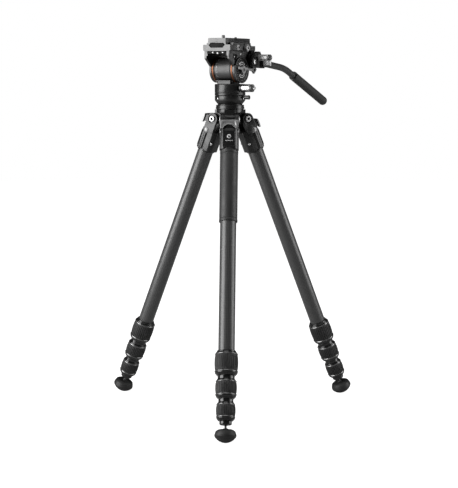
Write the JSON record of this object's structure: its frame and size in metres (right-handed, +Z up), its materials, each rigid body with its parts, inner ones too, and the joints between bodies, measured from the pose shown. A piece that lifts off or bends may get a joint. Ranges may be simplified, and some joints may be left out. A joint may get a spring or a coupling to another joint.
{
  "type": "tripod with fluid head",
  "caption": "Camera stand with twist-lock telescopic legs, a fluid pan-and-tilt head, a sliding quick-release plate and a rear pan bar.",
  "frame": {"origin": "on the floor, on the pan axis at the middle of the three feet", "axes": "+Z up along the pan axis; the front leg points along -Y; the tilt shaft points 30 degrees clockwise of +X seen from above"},
  "size_m": [0.5216, 0.5671, 0.7728],
  "materials": {
    "black_metal": "black anodised, satin",
    "carbon_tube": "carbon fibre weave under satin resin",
    "rubber": "matt moulded rubber",
    "bright_metal": "turned bright metal",
    "grey_metal": "grey cast metal, satin",
    "accent_metal": "copper-orange anodised",
    "vial": "clear tinted vial",
    "dark_tube": "dark grey anodised tube"
  },
  "bodies": {
    "crown": {"crown_spider": "black_metal", "hinge_bolts": "bright_metal", "top_disc": "black_metal", "mount_screw": "bright_metal", "pan_base": "black_metal"},
    "base_knob": {"base_lock_knob": "black_metal"},
    "front_leg": {"front_yoke": "black_metal", "front_tube_1": "carbon_tube", "front_grip_sleeve": "rubber"},
    "front_stop": {"front_stop_tab": "grey_metal"},
    "front_collar_1": {"front_lock_1": "rubber"},
    "front_section_2": {"front_tube_2": "carbon_tube"},
    "front_collar_2": {"front_lock_2": "rubber"},
    "front_section_3": {"front_tube_3": "carbon_tube"},
    "front_collar_3": {"front_lock_3": "rubber"},
    "front_section_4": {"front_tube_4": "carbon_tube", "front_foot_stem": "bright_metal", "front_foot": "rubber"},
    "right_leg": {"right_yoke": "black_metal", "right_tube_1": "carbon_tube"},
    "right_stop": {"right_stop_tab": "grey_metal"},
    "right_collar_1": {"right_lock_1": "rubber"},
    "right_section_2": {"right_tube_2": "carbon_tube"},
    "right_collar_2": {"right_lock_2": "rubber"},
    "right_section_3": {"right_tube_3": "carbon_tube"},
    "right_collar_3": {"right_lock_3": "rubber"},
    "right_section_4": {"right_tube_4": "carbon_tube", "right_foot_stem": "bright_metal", "right_foot": "rubber"},
    "left_leg": {"left_yoke": "black_metal", "left_tube_1": "carbon_tube"},
    "left_stop": {"left_stop_tab": "grey_metal"},
    "left_collar_1": {"left_lock_1": "rubber"},
    "left_section_2": {"left_tube_2": "carbon_tube"},
    "left_collar_2": {"left_lock_2": "rubber"},
    "left_section_3": {"left_tube_3": "carbon_tube"},
    "left_collar_3": {"left_lock_3": "rubber"},
    "left_section_4": {"left_tube_4": "carbon_tube", "left_foot_stem": "bright_metal", "left_foot": "rubber"},
    "pan_head": {"pan_housing": "black_metal", "tilt_housing": "black_metal", "accent_rings": "accent_metal"},
    "pan_knob": {"pan_lock_knob": "bright_metal"},
    "cradle": {"tilt_shaft": "bright_metal", "tilt_cradle": "black_metal", "plate_clamp": "black_metal", "rosette_hub": "black_metal", "bubble_level": "vial"},
    "dial": {"drag_dial": "black_metal"},
    "tilt_lever": {"tilt_lock_lever": "grey_metal"},
    "plate_knob": {"plate_lock_knob": "grey_metal"},
    "button": {"release_button": "bright_metal"},
    "camera_plate": {"quick_release_plate": "black_metal"},
    "plate_screw": {"camera_screw": "bright_metal"},
    "plate_pin": {"locating_pin": "bright_metal"},
    "bar_arm": {"bar_clamp": "black_metal", "pan_bar": "dark_tube", "bar_grip": "rubber"},
    "bar_knob": {"bar_clamp_knob": "bright_metal"}
  },
  "joints": [
    {"name": "base_knob_turn", "type": "hinge", "parent": "crown", "child": "base_knob", "pos_m": [0.02944, -0.017, 0.648], "axis": [0.866, -0.5, 0], "continuous": true},
    {"name": "front_leg_fold", "type": "hinge", "parent": "crown", "child": "front_leg", "pos_m": [0, -0.032, 0.604], "axis": [-1, 0, 0], "range_deg": [-21.5, 57]},
    {"name": "front_stop_slide", "type": "slide", "parent": "front_leg", "child": "front_stop", "axis": [0, 0.3843, 0.9232], "range_m": [0, 0.012]},
    {"name": "front_lock_1_twist", "type": "hinge", "parent": "front_leg", "child": "front_collar_1", "pos_m": [0, -0.032, 0.604], "axis": [0, -0.3843, -0.9232], "range_deg": [0, 90]},
    {"name": "front_section_2_slide", "type": "slide", "parent": "front_leg", "child": "front_section_2", "axis": [0, -0.3843, -0.9232], "range_m": [0, 0.36]},
    {"name": "front_lock_2_twist", "type": "hinge", "parent": "front_section_2", "child": "front_collar_2", "pos_m": [0, -0.032, 0.604], "axis": [0, -0.3843, -0.9232], "range_deg": [0, 90]},
    {"name": "front_section_3_slide", "type": "slide", "parent": "front_section_2", "child": "front_section_3", "axis": [0, -0.3843, -0.9232], "range_m": [0, 0.36]},
    {"name": "front_lock_3_twist", "type": "hinge", "parent": "front_section_3", "child": "front_collar_3", "pos_m": [0, -0.032, 0.604], "axis": [0, -0.3843, -0.9232], "range_deg": [0, 90]},
    {"name": "front_section_4_slide", "type": "slide", "parent": "front_section_3", "child": "front_section_4", "axis": [0, -0.3843, -0.9232], "range_m": [0, 0.36]},
    {"name": "right_leg_fold", "type": "hinge", "parent": "crown", "child": "right_leg", "pos_m": [0.02771, 0.016, 0.604], "axis": [0.5, -0.866, 0], "range_deg": [-21.5, 57]},
    {"name": "right_stop_slide", "type": "slide", "parent": "right_leg", "child": "right_stop", "axis": [-0.3328, -0.1921, 0.9232], "range_m": [0, 0.012]},
    {"name": "right_lock_1_twist", "type": "hinge", "parent": "right_leg", "child": "right_collar_1", "pos_m": [0.02771, 0.016, 0.604], "axis": [0.3328, 0.1921, -0.9232], "range_deg": [0, 90]},
    {"name": "right_section_2_slide", "type": "slide", "parent": "right_leg", "child": "right_section_2", "axis": [0.3328, 0.1921, -0.9232], "range_m": [0, 0.36]},
    {"name": "right_lock_2_twist", "type": "hinge", "parent": "right_section_2", "child": "right_collar_2", "pos_m": [0.02771, 0.016, 0.604], "axis": [0.3328, 0.1921, -0.9232], "range_deg": [0, 90]},
    {"name": "right_section_3_slide", "type": "slide", "parent": "right_section_2", "child": "right_section_3", "axis": [0.3328, 0.1921, -0.9232], "range_m": [0, 0.36]},
    {"name": "right_lock_3_twist", "type": "hinge", "parent": "right_section_3", "child": "right_collar_3", "pos_m": [0.02771, 0.016, 0.604], "axis": [0.3328, 0.1921, -0.9232], "range_deg": [0, 90]},
    {"name": "right_section_4_slide", "type": "slide", "parent": "right_section_3", "child": "right_section_4", "axis": [0.3328, 0.1921, -0.9232], "range_m": [0, 0.36]},
    {"name": "left_leg_fold", "type": "hinge", "parent": "crown", "child": "left_leg", "pos_m": [-0.02771, 0.016, 0.604], "axis": [0.5, 0.866, 0], "range_deg": [-21.5, 57]},
    {"name": "left_stop_slide", "type": "slide", "parent": "left_leg", "child": "left_stop", "axis": [0.3328, -0.1921, 0.9232], "range_m": [-0.012, 0]},
    {"name": "left_lock_1_twist", "type": "hinge", "parent": "left_leg", "child": "left_collar_1", "pos_m": [-0.02771, 0.016, 0.604], "axis": [-0.3328, 0.1921, -0.9232], "range_deg": [0, 90]},
    {"name": "left_section_2_slide", "type": "slide", "parent": "left_leg", "child": "left_section_2", "axis": [-0.3328, 0.1921, -0.9232], "range_m": [0, 0.36]},
    {"name": "left_lock_2_twist", "type": "hinge", "parent": "left_section_2", "child": "left_collar_2", "pos_m": [-0.02771, 0.016, 0.604], "axis": [-0.3328, 0.1921, -0.9232], "range_deg": [0, 90]},
    {"name": "left_section_3_slide", "type": "slide", "parent": "left_section_2", "child": "left_section_3", "axis": [-0.3328, 0.1921, -0.9232], "range_m": [0, 0.36]},
    {"name": "left_lock_3_twist", "type": "hinge", "parent": "left_section_3", "child": "left_collar_3", "pos_m": [-0.02771, 0.016, 0.604], "axis": [-0.3328, 0.1921, -0.9232], "range_deg": [0, 90]},
    {"name": "left_section_4_slide", "type": "slide", "parent": "left_section_3", "child": "left_section_4", "axis": [-0.3328, 0.1921, -0.9232], "range_m": [0, 0.36]},
    {"name": "pan", "type": "hinge", "parent": "crown", "child": "pan_head", "pos_m": [0, 0, 0.66], "axis": [0, 0, 1], "continuous": true},
    {"name": "pan_knob_turn", "type": "hinge", "parent": "pan_head", "child": "pan_knob", "pos_m": [0.02271, -0.02466, 0.6668], "axis": [0.866, -0.5, 0], "continuous": true},
    {"name": "tilt", "type": "hinge", "parent": "pan_head", "child": "cradle", "pos_m": [0, 0, 0.7033], "axis": [0.866, -0.5, 0], "range_deg": [-45, 70]},
    {"name": "drag_dial_turn", "type": "hinge", "parent": "cradle", "child": "dial", "pos_m": [0.02425, -0.014, 0.7033], "axis": [0.866, -0.5, 0], "continuous": true},
    {"name": "tilt_lever_swing", "type": "hinge", "parent": "cradle", "child": "tilt_lever", "pos_m": [0.02771, -0.016, 0.7033], "axis": [0.866, -0.5, 0], "range_deg": [-18, 0]},
    {"name": "plate_knob_turn", "type": "hinge", "parent": "cradle", "child": "plate_knob", "pos_m": [0.03185, -0.00684, 0.7474], "axis": [0.866, -0.5, 0], "continuous": true},
    {"name": "button_press", "type": "slide", "parent": "cradle", "child": "button", "axis": [-0.866, 0.5, 0], "range_m": [0, 0.0022], "stiffness_N_per_m": 300},
    {"name": "plate_slide", "type": "slide", "parent": "cradle", "child": "camera_plate", "axis": [0.5, 0.866, 0], "range_m": [-0.02, 0.02]},
    {"name": "camera_screw_turn", "type": "hinge", "parent": "camera_plate", "child": "plate_screw", "pos_m": [-0.01287, -0.02029, 0.7666], "axis": [0, 0, 1], "continuous": true},
    {"name": "locating_pin_press", "type": "slide", "parent": "camera_plate", "child": "plate_pin", "axis": [0, 0, -1], "range_m": [0, 0.0026], "stiffness_N_per_m": 300},
    {"name": "bar_angle", "type": "hinge", "parent": "cradle", "child": "bar_arm", "pos_m": [0.05564, 0.01637, 0.7281], "axis": [0.866, -0.5, 0], "range_deg": [-15, 75]},
    {"name": "bar_knob_turn", "type": "hinge", "parent": "bar_arm", "child": "bar_knob", "pos_m": [0.06084, 0.01337, 0.7281], "axis": [0.866, -0.5, 0], "continuous": true}
  ]
}
